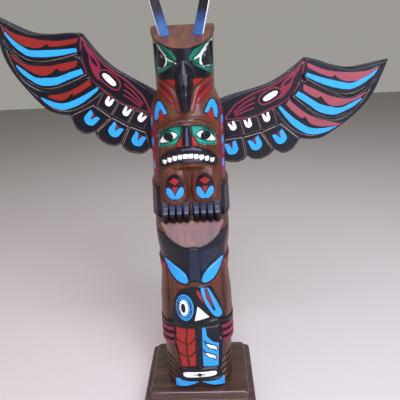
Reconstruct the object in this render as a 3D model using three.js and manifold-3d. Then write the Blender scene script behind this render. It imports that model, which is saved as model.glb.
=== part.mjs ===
// A model totem pole, carved from half a cedar log, with two wings and two ear-horns
// carved apart and fixed to it, standing on a stepped plinth. Bottom to top the figures
// are a whale, a raven, a bear and a thunderbird. Millimetres, +Z up, the front faces -Y,
// and the origin is the centre of the plinth's underside.
import * as THREE from 'three';
import { mergeVertices } from 'three/addons/utils/BufferGeometryUtils.js';
import Module from 'manifold-3d';

const wasm = await Module();
wasm.setup();

// Plinth: a bevelled block on a wider step, set a little askew under the pole.
const plinthWidth = 143;
const plinthDepth = 108;
const stepLedge = 9;
const stepHeight = 12;
const blockHeight = 13;
const cornerRadius = 3;
const edgeRound = 3.5;
const plinthTurn = -2.2;

// Pole: the four figures stacked from the foot, and the log's section.
const whaleHeight = 175;
const ravenHeight = 83;
const bearHeight = 128;
const birdHeight = 104;
const poleWidth = 100;
const poleBack = 34;
const poleFront = 43;
const reliefDepth = 2.4;
const joinGap = 0.3;

// Crown: the slanted cut on top of the bird's head, and the lip left round it.
const crownFall = 28;
const lipHeight = 2.8;

// Tray: the slanted shelf under the bear's feet.
const trayAngle = 50;

// Beak of the thunderbird.
const beakReach = 16;

// Wings: flat boards, butted on the log's flanks at different heights and angles.
const wingSpan = 196;
const wingThickness = 12;
const wingSetback = 4;
const leftShoulderDrop = 74.5;
const rightShoulderDrop = 86;
const leftShoulderReach = 0.2;
const rightShoulderReach = 6.2;
const leftWingRise = 40.5;
const rightWingRise = 23.4;

// Ear-horns: tapered slats standing on the crown.
const hornWidth = 12.2;
const hornThickness = 5;
const hornRise = 56;
const leftHornSpread = 0.206 * poleWidth;
const rightHornSpread = 0.186 * poleWidth;
const hornLean = 14;
const hornTurn = 25;
const hornSetback = 1;

const plinthHeight = stepHeight + blockHeight;
const poleFoot = plinthHeight + joinGap;
const poleTop = plinthHeight + whaleHeight + ravenHeight + bearHeight + birdHeight;

// Merge a closed three.js geometry into a solid that can be joined and cut.
function solid(geometry) {
  geometry.deleteAttribute('normal');
  geometry.deleteAttribute('uv');
  const merged = mergeVertices(geometry, 1e-4);
  const mesh = new wasm.Mesh({
    numProp: 3,
    vertProperties: new Float32Array(merged.attributes.position.array),
    triVerts: new Uint32Array(merged.index.array),
  });
  return new wasm.Manifold(mesh);
}

// Turn a solid back into a named mesh with its own finish.
function meshOf(name, body, finish) {
  const data = body.getMesh();
  const geometry = new THREE.BufferGeometry();
  geometry.setAttribute('position', new THREE.BufferAttribute(new Float32Array(data.vertProperties), 3));
  geometry.setIndex(new THREE.BufferAttribute(new Uint32Array(data.triVerts), 1));
  geometry.computeVertexNormals();
  const mesh = new THREE.Mesh(geometry, finish);
  mesh.name = name;
  return mesh;
}

const mirror = (outline) => outline.map(([x, z]) => [-x, z]).reverse();

// A smooth outline through a few points, closed or open.
function curve(points, perPoint = 2, closed = true) {
  const knots = points.map(([x, z]) => new THREE.Vector3(x, z, 0));
  const spline = new THREE.CatmullRomCurve3(knots, closed, 'centripetal');
  const count = perPoint * (closed ? points.length : points.length - 1);
  const drawn = spline.getPoints(count).map((p) => [p.x, p.y]);
  return closed ? drawn.slice(0, -1) : drawn;
}

function oval(x, z, rx, rz, sides = 14) {
  const turn = (i) => (2 * Math.PI * i) / sides;
  return Array.from({ length: sides }, (_, i) => [x + rx * Math.cos(turn(i)), z + rz * Math.sin(turn(i))]);
}

// A bar along a line of points, with its thickness across the line.
function band(line, thickness) {
  const upper = [];
  const lower = [];
  line.forEach(([x, z], i) => {
    const [ax, az] = line[Math.max(0, i - 1)];
    const [bx, bz] = line[Math.min(line.length - 1, i + 1)];
    const run = Math.hypot(bx - ax, bz - az);
    const nx = (-(bz - az) / run) * (thickness / 2);
    const nz = ((bx - ax) / run) * (thickness / 2);
    upper.push([x + nx, z + nz]);
    lower.push([x - nx, z - nz]);
  });
  return [...upper, ...lower.reverse()];
}

// An outline in the front view, run from near to far along Y.
function slab(outline, near, far) {
  const shape = new THREE.Shape(outline.map(([x, z]) => new THREE.Vector2(x, z)));
  const geometry = new THREE.ExtrudeGeometry(shape, { depth: far - near, bevelEnabled: false });
  geometry.rotateX(Math.PI / 2);
  geometry.translate(0, far, 0);
  return solid(geometry);
}

// An outline in the side view, run from left to right along X.
function profileSlab(outline, left, right) {
  const shape = new THREE.Shape(outline.map(([y, z]) => new THREE.Vector2(y, z)));
  const geometry = new THREE.ExtrudeGeometry(shape, { depth: right - left, bevelEnabled: false });
  geometry.applyMatrix4(new THREE.Matrix4().set(0, 0, 1, left, 1, 0, 0, 0, 0, 1, 0, 0, 0, 0, 0, 1));
  return solid(geometry);
}

// A closed skin over rings of equal point count, from the lowest to the highest.
function loft(rings) {
  const around = rings[0].length;
  const index = [];
  for (let level = 0; level + 1 < rings.length; level += 1) {
    for (let i = 0; i < around; i += 1) {
      const a = level * around + i;
      const b = level * around + ((i + 1) % around);
      index.push(a, b, b + around, a, b + around, a + around);
    }
  }
  const top = (rings.length - 1) * around;
  for (let i = 1; i + 1 < around; i += 1) {
    index.push(0, i + 1, i, top, top + i, top + i + 1);
  }
  const geometry = new THREE.BufferGeometry();
  geometry.setAttribute('position', new THREE.Float32BufferAttribute(rings.flat(2), 3));
  geometry.setIndex(index);
  return solid(geometry);
}

// Each figure is carved from a pattern sheet as wide as the sheetWidth and as tall as the
// figure's own sheet, stretched to the figure's height and the pole's width.
const sheetWidth = 100;
function figure(base, height, sheet) {
  const across = poleWidth / sheetWidth;
  const up = height / sheet;
  const level = (z) => base + z * up;
  const place = (outline) => outline.map(([x, z]) => [x * across, level(z)]);
  return { level, place };
}
const ravenBase = plinthHeight + whaleHeight;
const bearBase = ravenBase + ravenHeight;
const birdBase = bearBase + bearHeight;
const whale = figure(plinthHeight, whaleHeight, 175);
const raven = figure(ravenBase, ravenHeight, 83);
const bear = figure(bearBase, bearHeight, 128);
const bird = figure(birdBase, birdHeight, 104);

const neckShare = 0.73;

// The log's D section at some heights: half-width, where the round front starts, how far
// the front reaches, each as a share of the pole's own, and how square the round is.
const sections = [
  { at: poleFoot, half: 0.97, start: -0.14, front: 1.0, square: 2.5 },
  { at: whale.level(90), half: 0.98, start: -0.02, front: 1.0, square: 2.4 },
  { at: whale.level(140), half: 0.945, start: 0.08, front: 1.0, square: 2.2 },
  { at: raven.level(0), half: 0.875, start: 0.1, front: 0.93, square: 2.1 },
  { at: raven.level(24), half: 0.92, start: 0.12, front: 0.88, square: 2.0 },
  { at: raven.level(48), half: 0.98, start: 0.14, front: 0.98, square: 2.0 },
  { at: raven.level(66), half: 0.99, start: 0.14, front: 0.98, square: 2.0 },
  { at: bear.level(40), half: 0.94, start: 0.18, front: 0.97, square: 2.0 },
  { at: bear.level(100), half: 0.92, start: 0.3, front: 0.94, square: 2.0 },
  { at: bird.level(4), half: 0.9, start: 0.45, front: 0.92, square: 2.0 },
  { at: bird.level(16), half: 0.85, start: 0.6, front: 0.84, square: 2.0 },
  { at: bird.level(30), half: neckShare, start: 0.85, front: 0.8, square: 2.0 },
  { at: bird.level(76), half: 0.735, start: 0.94, front: 0.86, square: 2.0 },
  { at: poleTop, half: 0.755, start: 0.94, front: 0.87, square: 2.0 },
];
const roundSteps = 14;

function sectionRing({ at, half, start, front, square }, grow) {
  const halfWidth = (half * poleWidth) / 2 + grow;
  const sideY = start * poleBack;
  const reach = sideY + front * poleFront + grow;
  const ring = [[-halfWidth, poleBack, at]];
  for (let i = 0; i <= roundSteps; i += 1) {
    const turn = Math.PI * (1 - i / roundSteps);
    const out = Math.cos(turn);
    const round = Math.abs(out) ** (2 / square);
    const deep = Math.sin(turn) ** (2 / square);
    ring.push([Math.sign(out) * halfWidth * round, sideY - reach * deep, at]);
  }
  ring.push([halfWidth, poleBack, at]);
  return ring;
}

const logGrown = (grow) => loft(sections.map((section) => sectionRing(section, grow)));

// A size of the section at any height, worked out between its two neighbours.
function sectionAt(key, z) {
  const above = sections.findIndex((section) => section.at >= z);
  const b = sections[Math.max(1, above)];
  const a = sections[Math.max(1, above) - 1];
  return a[key] + ((b[key] - a[key]) * (z - a.at)) / (b.at - a.at);
}
const halfWidthAt = (z) => (sectionAt('half', z) * poleWidth) / 2;

// How far forward the log's round front stands at a place in the front view.
function frontAt(x, z) {
  const share = Math.min(1, Math.abs(x) / halfWidthAt(z));
  const side = sectionAt('start', z) * poleBack;
  const square = sectionAt('square', z);
  return side - (side + sectionAt('front', z) * poleFront) * (1 - share ** square) ** (1 / square);
}

const farFront = -2 * poleFront;
const reliefs = new Map();
function skinAt(grow) {
  if (!reliefs.has(grow)) reliefs.set(grow, logGrown(grow));
  return reliefs.get(grow);
}

// Join a raised relief, or cut a sunk one, following the round of the log. Heights are
// counted in relief depths.
let pole = skinAt(0);
function raised(outline, depths, back = 0.8 * poleBack) {
  pole = pole.add(slab(outline, farFront, back).intersect(skinAt(depths * reliefDepth)));
}
function sunk(outline, depths, back = 0.8 * poleBack) {
  pole = pole.subtract(slab(outline, farFront, back).subtract(skinAt(-depths * reliefDepth)));
}
function bothSides(act, outline, depths) {
  act(outline, depths);
  act(mirror(outline), depths);
}

// Thunderbird: the forehead wedge and hood stand proud of the sunk eye sockets.
const socket = bird.place([[7, 61], [24, 78], [34, 84], [34.5, 50], [24, 45], [8, 45]]);
bothSides(sunk, socket, 1);
const hood = bird.place([[0, 45], [24, 45], [31, 53], [8, 61], [24, 82], [0, 79]]);
raised([...hood, ...mirror(hood)].filter(([x], i) => x !== 0 || i === 0 || i === 5), 0.6);
bothSides(raised, bird.place(curve([[29, 74], [33, 62], [30, 53], [25, 58], [25, 70]], 2)), 0.4);
const cheek = curve([[33, 42], [22, 36], [14, 28], [9.5, 15]], 2, false);
bothSides(raised, bird.place(band(cheek, 5)), 0.6);
const lowerCheek = curve([[34, 32], [25, 24], [18, 15]], 2, false);
bothSides(raised, bird.place(band(lowerCheek, 3.4)), 0.4);

// The beak is a hooked wedge that runs down out of the forehead to a free point.
const beakRings = [
  [64, 2, -0.72, 0.05],
  [58, 6.8, -0.5, 0.3],
  [50, 9.4, -0.5, 0.66],
  [38, 9.4, -0.5, 0.95],
  [27, 8.2, -0.5, 1.0],
  [18, 6.4, -0.62, 0.95],
  [11.5, 4.2, -0.9, 0.78],
  [8, 1.4, -1.05, 0.6],
];
const beakSides = 10;
pole = pole.add(loft(beakRings.map(([z, half, back, reach]) => {
  const at = bird.level(z);
  const backY = back * poleFront;
  const frontY = frontAt(0, at) - reach * beakReach;
  const halfWidth = (half * poleWidth) / sheetWidth;
  return Array.from({ length: beakSides }, (_, i) => {
    const turn = (2 * Math.PI * i) / beakSides;
    const y = (backY + frontY) / 2 + ((backY - frontY) / 2) * Math.sin(turn);
    return [halfWidth * Math.cos(turn), y, at];
  });
}).reverse()));

// The crown is one slanted cut, with a thin lip left above the carved forehead.
const crownBack = poleTop;
const crownSlope = crownFall / (poleBack + 0.9 * poleFront);
const crownAt = (y) => crownBack - crownSlope * (poleBack - y);
const pastBack = 2 * poleBack;
const crownCut = (drop) => profileSlab([
  [farFront, crownAt(farFront) - drop],
  [pastBack, crownAt(pastBack) - drop],
  [pastBack, 2 * poleTop],
  [farFront, 2 * poleTop],
], -poleWidth, poleWidth);
pole = pole.add(skinAt(0.5 * reliefDepth).intersect(crownCut(lipHeight)));
pole = pole.subtract(crownCut(0));

// Bear: brow arch, sunk sockets, almond eyes, nose with nostrils, and the arched mouth.
const browTop = [[-36, 108], [-27, 119.5], [-12, 127], [12, 127], [27, 119.5], [36, 108]];
const browFoot = [[34, 106], [20, 119], [6, 121], [-6, 121], [-20, 119], [-34, 106]];
raised(bear.place([...curve(browTop, 2, false), ...curve(browFoot, 2, false)]), 1.4);
bothSides(sunk, bear.place([[5, 120.5], [20, 119], [34, 106], [34, 94], [14, 99.5]]), 1.2);
const eye = curve([[11.5, 111], [20, 115], [29, 107], [32.5, 100.5], [24, 102], [15, 105]], 2);
bothSides(raised, bear.place(eye), 0.1);
bothSides(raised, bear.place(oval(22, 108, 5, 5.2, 8)), 0.7);
raised(bear.place([[-4.2, 122], [-5, 95.5], [5, 95.5], [4.2, 122]]), 2.2);
bothSides(raised, bear.place([[4, 109], [4, 95.5], [13, 95.5]]), 1.3);
const lipTop = [[-34, 81], [-20, 91], [0, 95], [20, 91], [34, 81]];
const lipFoot = [[33, 70], [18, 77], [0, 79], [-18, 77], [-33, 70]];
raised(bear.place([...curve(lipTop, 2, false), ...curve(lipFoot, 2, false)]), 1.2);
const gapTop = [[-31, 78.5], [-20, 85.5], [0, 89], [20, 85.5], [31, 78.5]];
const gapFoot = [[30.5, 73.5], [18, 80], [0, 82], [-18, 80], [-30.5, 73.5]];
sunk(bear.place([...curve(gapTop, 2, false), ...curve(gapFoot, 2, false)]), 0);

// Ten blunt teeth stand in the mouth, on the arc of its middle line.
const teeth = 10;
const toothPitch = 6.2;
const toothArch = 0.01;
for (let i = 0; i < teeth; i += 1) {
  const x = toothPitch * (i - (teeth - 1) / 2);
  const z = 86 - toothArch * x * x;
  raised(bear.place(oval(x, z, 2.9, 3.2, 6)), 0.8);
}

// Below the mouth the front is cut back to the tray, the slanted shelf that the feet stand on.
const trayRim = raven.level(50.5);
const traySlope = Math.tan(THREE.MathUtils.degToRad(trayAngle));
const trayBack = -0.44 * poleFront;
const trayRise = (y) => trayRim + traySlope * (y + 0.98 * poleFront);
pole = pole.subtract(profileSlab([
  [farFront, trayRise(farFront)],
  [trayBack, trayRise(trayBack)],
  [trayBack, bear.level(3)],
  [farFront, bear.level(3)],
], -poleWidth, poleWidth));
pole = pole.subtract(profileSlab([
  [farFront, bear.level(2)],
  [trayBack, bear.level(2)],
  [-0.62 * poleFront, bear.level(24)],
  [-0.78 * poleFront, bear.level(66)],
  [-0.97 * poleFront, bear.level(74)],
  [farFront, bear.level(74)],
], -0.39 * poleWidth, 0.39 * poleWidth));

// Push a ball's sides out towards a rounded block, in the front view.
function squareOff(geometry, power) {
  const places = geometry.attributes.position;
  const push = (value) => Math.sign(value) * Math.abs(value) ** power;
  for (let i = 0; i < places.count; i += 1) {
    places.setX(i, push(places.getX(i)));
    places.setZ(i, push(places.getZ(i)));
  }
}

// Two rounded knees, and four toes to a foot that slope down to the tray.
for (const side of [-1, 1]) {
  const knee = new THREE.SphereGeometry(1, 12, 8);
  knee.rotateX(Math.PI / 2);
  squareOff(knee, 0.72);
  knee.scale(0.168 * poleWidth, 0.3 * poleFront, bear.level(28) - bear.level(0));
  knee.translate(side * 0.178 * poleWidth, -0.62 * poleFront, bear.level(48));
  pole = pole.add(solid(knee));
}
const toes = 4;
const toePitch = 0.088 * poleWidth;
const toeWidth = 0.064 * poleWidth;
for (const side of [-1, 1]) {
  for (let i = 0; i < toes; i += 1) {
    const middle = side * (0.022 * poleWidth + toePitch * (i + 0.5));
    const tip = Math.max(-0.72 * poleFront, frontAt(middle, bear.level(5)) - reliefDepth);
    pole = pole.add(profileSlab([
      [tip + 0.5 * poleFront, bear.level(24)],
      [tip + 0.32 * poleFront, bear.level(20)],
      [tip, bear.level(10)],
      [tip, bear.level(6)],
      [tip + 0.18 * poleFront, bear.level(-5)],
      [tip + 0.5 * poleFront, bear.level(-5)],
    ], middle - toeWidth / 2, middle + toeWidth / 2));
  }
}
bothSides(raised, bear.place([[38.5, 4], [38.5, 46], [43, 47], [56, 47], [56, 4]]), 1.2);

// Raven: dark brow under the tray, leaf-shaped eyes and the long straight beak bar.
const ravenBrow = [[43, 52], [40, 36], [30, 27], [18, 20], [9, 10], [0, 6]];
raised(raven.place([...ravenBrow, ...mirror(ravenBrow).slice(1), [-43, 62], [43, 62]]), 0.5);
const leaf = [[38, 32], [27, 27], [15, 20], [8, 10], [7.5, 2], [14, -2.5], [24, 4], [33, 18]];
bothSides(raised, raven.place(curve(leaf, 2)), 0.9);
raised(raven.place([[-5.5, 52], [-7.5, 0], [7.5, 0], [5.5, 52]]), 1.6);
const flank = [[39, 110], [37.5, 178], [39, 193], [43, 197], [56, 197], [56, 110]];
bothSides(raised, whale.place(flank), 1.2);

// Whale: head with ringed eye, striped jaw and mouth, over the curved lip band.
const head = [[-28, 115], [-31, 140], [-27, 160], [-14, 172], [4, 172],
  [18, 169], [27, 150], [36, 122], [30, 113]];
raised(whale.place(curve(head, 2)), 0.7);
raised(whale.place(oval(-14.5, 137, 11.5, 20.5, 12)), 1.1);
sunk(whale.place(oval(-15.5, 137, 6.2, 12.5, 10)), -0.7);
raised(whale.place(oval(-16, 137, 2.8, 6.6, 8)), 1.1);
const jaw = [[1, 166.5], [16, 166], [25, 148], [33, 121], [26, 115], [15, 127], [4, 143]];
raised(whale.place(curve(jaw, 2)), 1.2);
const jawLine = curve([[5, 164], [15, 140], [26, 121]], 2, false);
sunk(whale.place(band(jawLine, 1.6)), -0.6);
sunk(whale.place([[1.5, 138], [15.5, 119], [-2.5, 116.5]]), -0.1);
const lipLine = curve([[-38, 110], [-18, 107], [0, 106.5], [18, 107.5], [38, 111]], 2, false);
raised(whale.place(band(lipLine, 6.5)), 1.5);

// Three fingers to a hand, on each flank.
const fingers = 3;
const fingerPitch = 8;
for (let i = 0; i < fingers; i += 1) {
  const z = 101 - fingerPitch * i;
  const finger = [[29, z + 3], [56, z + 1], [56, z - 5], [29, z - 3.4], [27.5, z]];
  bothSides(raised, whale.place(finger), 1.4);
}

// The body: red ribbed panel, dark bar, blue panel, and slanting ribs on the flanks.
raised(whale.place([[-28, 105], [-24.5, 36.5], [-3, 36.5], [-3, 105]]), 0.9);
sunk(whale.place([[-15.5, 103], [-13.5, 103], [-12.5, 38], [-13.8, 38]]), -0.2);
for (const z of [84, 62]) {
  sunk(whale.place(band([[-27, z + 2], [-14, z - 5], [-3.5, z + 2]], 1.6)), -0.2);
}
raised(whale.place([[-2.4, 106], [-1.6, 36.5], [5, 36.5], [4.6, 106]]), 1.5);
raised(whale.place([[5.8, 106], [6, 36.5], [27, 34], [30, 102]]), 0.9);
for (const z of [73, 57]) {
  raised(whale.place(band(curve([[10, z + 4], [16, z], [20, z - 3], [25, z - 6]], 2, false), 4)), 1.2);
}
bothSides(raised, whale.place([[30, 80], [33.5, 80], [31, 30], [28, 34]]), 1.2);
for (let i = 0; i < 3; i += 1) {
  const z = 54 - 11 * i;
  bothSides(sunk, whale.place(band([[30.5, z - 10], [56, z + 10]], 3)), 0.8);
}

// The tail: a rounded bar over two flukes that reach out to the plinth.
raised(whale.place(curve([[-26, 17], [-28, 25], [-24, 33], [24, 33], [28, 25], [26, 17]], 2)), 1.3);
raised(whale.place(curve([[-23, 21.5], [-23, 28.5], [23, 28.5], [23, 21.5]], 3)), 1.7);
const flukes = [[-33, 0.3], [-33, 15], [-20, 17], [20, 17], [33, 15],
  [33, 0.3], [17, 4], [0, 12.5], [-17, 4]];
raised(whale.place(flukes), 2.2);
const belowFoot = [[-poleWidth, 0], [poleWidth, 0], [poleWidth, poleFoot], [-poleWidth, poleFoot]];
pole = pole.subtract(slab(belowFoot, farFront, pastBack));

// A wing is drawn along its arm: the shoulder is at 0, the elbow and the tip lie outwards,
// and the board runs on inwards until the log's flank trims it. The pattern sheet is
// stretched to the wing's span.
const wingSheet = 196;
const toSpan = wingSpan / wingSheet;
const onWing = (outline) => outline.map(([x, z]) => [x * toSpan, z * toSpan]);
const boardEdge = [
  ...curve([[-24, -2], [0, 0], [36, -6], [58, -8.5], [80, -6.4], [106, 0]], 2, false),
  ...curve([[108, -1], [120, -10.5], [132, -21.5], [154, -35], [196, -45.5]], 2, false),
  ...curve([[186, -57], [165, -77.5], [139, -90.5], [98, -100], [80, -97], [66, -89]], 2, false),
  ...curve([[59, -94], [50, -98.5], [38, -97], [31, -88]], 2, false),
  ...curve([[22, -92], [10, -92], [0, -87], [-4, -80]], 2, false),
  ...curve([[-10, -83], [-20, -82], [-33, -74], [-37, -62]], 2, false),
  [-62, -52],
  [-70, -20],
];
const feathers = [
  [[105, -2], [121, -12], [134, -24], [155, -38], [193, -46],
    [182, -50], [172, -57], [156, -65], [134, -62], [97, -24]],
  [[97, -25], [134, -64], [156, -67], [174, -62], [165, -71],
    [152, -80], [124, -85], [101, -76], [83, -50], [74, -36]],
  [[74, -38], [101, -79], [124, -88], [148, -83], [128, -91], [98, -96], [84, -94], [68, -85], [50, -40]],
];
const feathersRise = [3.5, 2.4, 1.3];
const panel = curve([
  [104, -3], [98, -12], [90, -22], [78, -31], [59, -38], [36, -38], [10, -34], [-14, -26],
  [-60, -22], [-60, -6], [-10, -3], [20, -4.5], [50, -7.5], [80, -6],
], 2);
const pads = [
  [[48, -39], [46, -58], [26, -57], [28, -38]],
  [[26.5, -38], [24.5, -56], [4.5, -53], [7, -34]],
  [[5.5, -33.5], [3, -52], [-16, -46], [-12, -28]],
];
const coverts = [
  [[50, -61], [64, -88], [57, -94], [48, -97], [38, -95.5], [30, -87], [25, -60]],
  [[23, -59.5], [28, -86], [20, -90.5], [10, -90.5], [1, -86], [-4, -78], [1, -56]],
  [[-1, -55], [-7, -80], [-19, -80.5], [-32, -73], [-36, -60], [-20, -49]],
];

// The board is carved in steps: the arm panel highest, then each row of feathers lower.
const boardShare = 0.7;
function wingBoard() {
  const face = wingThickness * (1 - boardShare);
  const relief = face / 3.6;
  let board = slab(onWing(boardEdge), face, wingThickness);
  const lay = (outline, rise) => {
    board = board.add(slab(onWing(outline), face - relief * rise, wingThickness).intersect(
      slab(onWing(boardEdge), -wingThickness, wingThickness)));
  };
  feathers.forEach((outline, i) => lay(curve(outline, 2), feathersRise[i]));
  lay(panel, 3.6);
  pads.forEach((outline) => lay(outline, 2.2));
  coverts.forEach((outline) => lay(outline, 1));
  return board;
}

// The shoulder sits its own reach outside the log's flank, at its own drop below the crown.
function wing(side, drop, reach, rise) {
  const board = wingBoard();
  const turned = board.rotate([0, -rise, 0]);
  const shoulder = poleTop - drop;
  const placed = turned.translate([halfWidthAt(shoulder) + reach, wingSetback, shoulder]);
  const sided = side > 0 ? placed : placed.mirror([1, 0, 0]);
  return sided.subtract(skinAt(joinGap));
}

// A horn is a tapered slat with a rounded, slanted end, seated on the crown. Its outer edge
// is turned forwards.
function horn(side, spread) {
  const root = hornRise * 0.5;
  const half = hornWidth / 2;
  const stretch = ([x, z]) => [x * half, z * hornRise];
  const shaft = [[1, 0], [0.94, 0.6], [0.75, 0.86]];
  const tip = curve([[0.5, 0.95], [0, 1], [-0.5, 0.985], [-0.92, 0.88]], 2, false);
  const outline = [[-half, -root], [half, -root], ...[...shaft, ...tip].map(stretch)];
  const slat = slab(outline, -hornThickness / 2, hornThickness / 2);
  const y = hornSetback;
  const turned = slat.rotate([0, 0, -hornTurn]).rotate([0, hornLean, 0]);
  const placed = turned.translate([spread, y, crownAt(y)]);
  const sided = side > 0 ? placed : placed.mirror([1, 0, 0]);
  const seat = profileSlab([
    [farFront, 0],
    [pastBack, 0],
    [pastBack, crownAt(pastBack) + joinGap],
    [farFront, crownAt(farFront) + joinGap],
  ], -poleWidth, poleWidth);
  return sided.subtract(seat);
}

// A rounded rectangle lying flat, with its upper edge rounded over.
function block(width, depth, height, round) {
  const w = width / 2 - round;
  const d = depth / 2 - round;
  const r = cornerRadius;
  const shape = new THREE.Shape();
  shape.moveTo(-w + r, -d);
  shape.lineTo(w - r, -d);
  shape.absarc(w - r, -d + r, r, -Math.PI / 2, 0);
  shape.lineTo(w, d - r);
  shape.absarc(w - r, d - r, r, 0, Math.PI / 2);
  shape.lineTo(-w + r, d);
  shape.absarc(-w + r, d - r, r, Math.PI / 2, Math.PI);
  shape.lineTo(-w, -d + r);
  shape.absarc(-w + r, -d + r, r, Math.PI, 1.5 * Math.PI);
  const geometry = new THREE.ExtrudeGeometry(shape, {
    depth: height - 2 * round,
    bevelThickness: round,
    bevelSize: round,
    bevelSegments: 2,
    curveSegments: 3,
  });
  geometry.translate(0, 0, round);
  return solid(geometry);
}

const stepRound = 1.5;
const step = block(plinthWidth + 2 * stepLedge, plinthDepth + 2 * stepLedge, stepHeight, stepRound);
const upper = block(plinthWidth, plinthDepth, blockHeight + edgeRound, edgeRound);
const plinth = step.add(upper.translate([0, 0, stepHeight - edgeRound])).rotate([0, 0, plinthTurn]);

const stainedCedar = new THREE.MeshStandardMaterial({ color: 0x6a4433, roughness: 0.42, metalness: 0 });
const darkStain = new THREE.MeshStandardMaterial({ color: 0x4a3025, roughness: 0.45, metalness: 0 });
const leftPaint = new THREE.MeshStandardMaterial({ color: 0x2a1d22, roughness: 0.4, metalness: 0 });
const rightPaint = leftPaint.clone();
const leftHornPaint = new THREE.MeshStandardMaterial({ color: 0x30406a, roughness: 0.4, metalness: 0 });
const rightHornPaint = leftHornPaint.clone();

const totem = new THREE.Group();
totem.add(meshOf('plinth', plinth, darkStain));
totem.add(meshOf('pole', pole, stainedCedar));
totem.add(meshOf('wing_left', wing(-1, leftShoulderDrop, leftShoulderReach, leftWingRise), leftPaint));
totem.add(meshOf('wing_right', wing(1, rightShoulderDrop, rightShoulderReach, rightWingRise), rightPaint));
totem.add(meshOf('horn_left', horn(-1, leftHornSpread), leftHornPaint));
totem.add(meshOf('horn_right', horn(1, rightHornSpread), rightHornPaint));

export default totem;
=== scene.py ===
# The looks of a carved and painted model totem pole: the camera, the log with its four
# figures, the two wings, the two ear-horns, the plinth, the floor and the lights.
import math

import bpy
import numpy as np
from mathutils import Matrix, Vector
from mathutils.geometry import delaunay_2d_cdt


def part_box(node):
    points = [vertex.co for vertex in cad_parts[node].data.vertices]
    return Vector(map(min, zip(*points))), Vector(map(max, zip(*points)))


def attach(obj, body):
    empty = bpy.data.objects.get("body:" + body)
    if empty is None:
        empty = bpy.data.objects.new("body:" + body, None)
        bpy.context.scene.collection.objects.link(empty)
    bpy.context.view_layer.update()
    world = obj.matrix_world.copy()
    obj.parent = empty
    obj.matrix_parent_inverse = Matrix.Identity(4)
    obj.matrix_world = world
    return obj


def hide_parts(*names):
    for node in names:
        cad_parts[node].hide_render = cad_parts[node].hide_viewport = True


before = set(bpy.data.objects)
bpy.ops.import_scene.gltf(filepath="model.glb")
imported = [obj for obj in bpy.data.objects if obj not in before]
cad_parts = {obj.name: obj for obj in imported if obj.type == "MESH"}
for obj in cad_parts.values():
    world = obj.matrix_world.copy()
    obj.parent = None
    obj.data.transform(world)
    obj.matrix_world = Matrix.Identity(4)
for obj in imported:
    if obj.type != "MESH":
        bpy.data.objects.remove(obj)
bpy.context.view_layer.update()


# The view: a phone's wide lens held level with the thunderbird's forehead, close in front,
# looking down at the bear, and turned a few degrees about its own line of sight.
MM = 0.001
lens_mm = 36.0
film_mm = 36.0
eye_mm = (11.6, -498.0, 480.0)
look_down = 20.0
tilted = 2.7

camera = bpy.data.objects.new("camera", bpy.data.cameras.new("camera"))
camera.data.lens = lens_mm
camera.data.sensor_width = film_mm
camera.data.sensor_fit = "HORIZONTAL"
camera.data.clip_start = 0.01
camera.matrix_world = (
    Matrix.Translation(Vector(eye_mm) * MM)
    @ Matrix.Rotation(math.radians(90 - look_down), 4, "X")
    @ Matrix.Rotation(math.radians(-tilted), 4, "Z")
)
bpy.context.scene.collection.objects.link(camera)
bpy.context.scene.camera = camera


# The log: half a cedar trunk, flat at the back, round at the front, drawn in at the
# thunderbird's neck and cut on a slant at the crown. Everything else is carved into it.
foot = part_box("pole")[0].z / MM
crown_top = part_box("pole")[1].z / MM
log_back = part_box("pole")[1].y / MM
crown_slope = 0.385
crown_rows_from = crown_top - 39.0
row_step = 1.06
arc_columns = 163
flank_columns = 12
back_columns = 5

# Where each figure stands, counted up from the table.
whale, raven, bear, bird = 25.0, 200.0, 283.0, 411.0

# The log's section at some heights: half-width, where the round front starts, how far
# forward it reaches, and how square the round is.
log_sections = np.array([
    (foot, 48.5, -4.8, 43.0, 2.5),
    (whale + 90, 49.0, -0.7, 43.0, 2.4),
    (whale + 140, 47.25, 2.7, 43.0, 2.2),
    (raven, 43.75, 3.4, 40.0, 2.1),
    (raven + 24, 46.0, 4.1, 37.8, 2.0),
    (raven + 48, 49.0, 4.8, 42.1, 2.0),
    (raven + 66, 49.5, 4.8, 42.1, 2.0),
    (bear + 40, 47.0, 6.1, 41.7, 2.0),
    (bear + 100, 46.0, 10.2, 40.4, 2.0),
    (bird + 4, 45.0, 15.3, 39.6, 2.0),
    (bird + 16, 42.5, 20.4, 36.1, 2.0),
    (bird + 30, 36.5, 28.9, 34.4, 2.0),
    (bird + 76, 36.75, 32.0, 37.0, 2.0),
    (crown_top, 37.75, 32.0, 37.4, 2.0),
])


def section_at(z):
    """Half-width of the log, and its round front's start, reach and squareness, at some heights."""
    return [np.interp(z, log_sections[:, 0], log_sections[:, k]) for k in range(1, 5)]


def crown_at(y):
    """Height of the crown's slanted face at a place between front and back."""
    return crown_top - crown_slope * (log_back - y)


def log_surface(z, turn, flank, across, grow=0.0):
    """Places on the log's skin, grown outwards by some millimetres."""
    half, start, front, square = section_at(z)
    half, reach = half + grow, start + front + grow
    out = np.cos(turn)
    x = half * out
    y = start - reach * np.clip(1 - np.abs(out) ** square, 0, 1) ** (1 / square)
    y = y + flank * (log_back - start)
    x = np.where(np.isnan(across), x, across * half)
    return x, np.where(np.isnan(across), y, log_back)


# One column of places for each step round the log: left flank, round front, right flank, back.
arc_turn = np.linspace(math.pi, 0, arc_columns)
flank_share = np.linspace(1, 0, flank_columns, endpoint=False)
inner_back = np.linspace(1, -1, back_columns + 2)[1:-1]
column_turn = np.concatenate([
    np.full(flank_columns, math.pi), arc_turn, np.zeros(flank_columns), np.zeros(back_columns)])
column_flank = np.concatenate([
    flank_share, np.zeros(arc_columns), flank_share[::-1], np.zeros(back_columns)])
column_across = np.concatenate([
    np.full(2 * flank_columns + arc_columns, np.nan), inner_back])
columns = len(column_turn)

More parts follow.
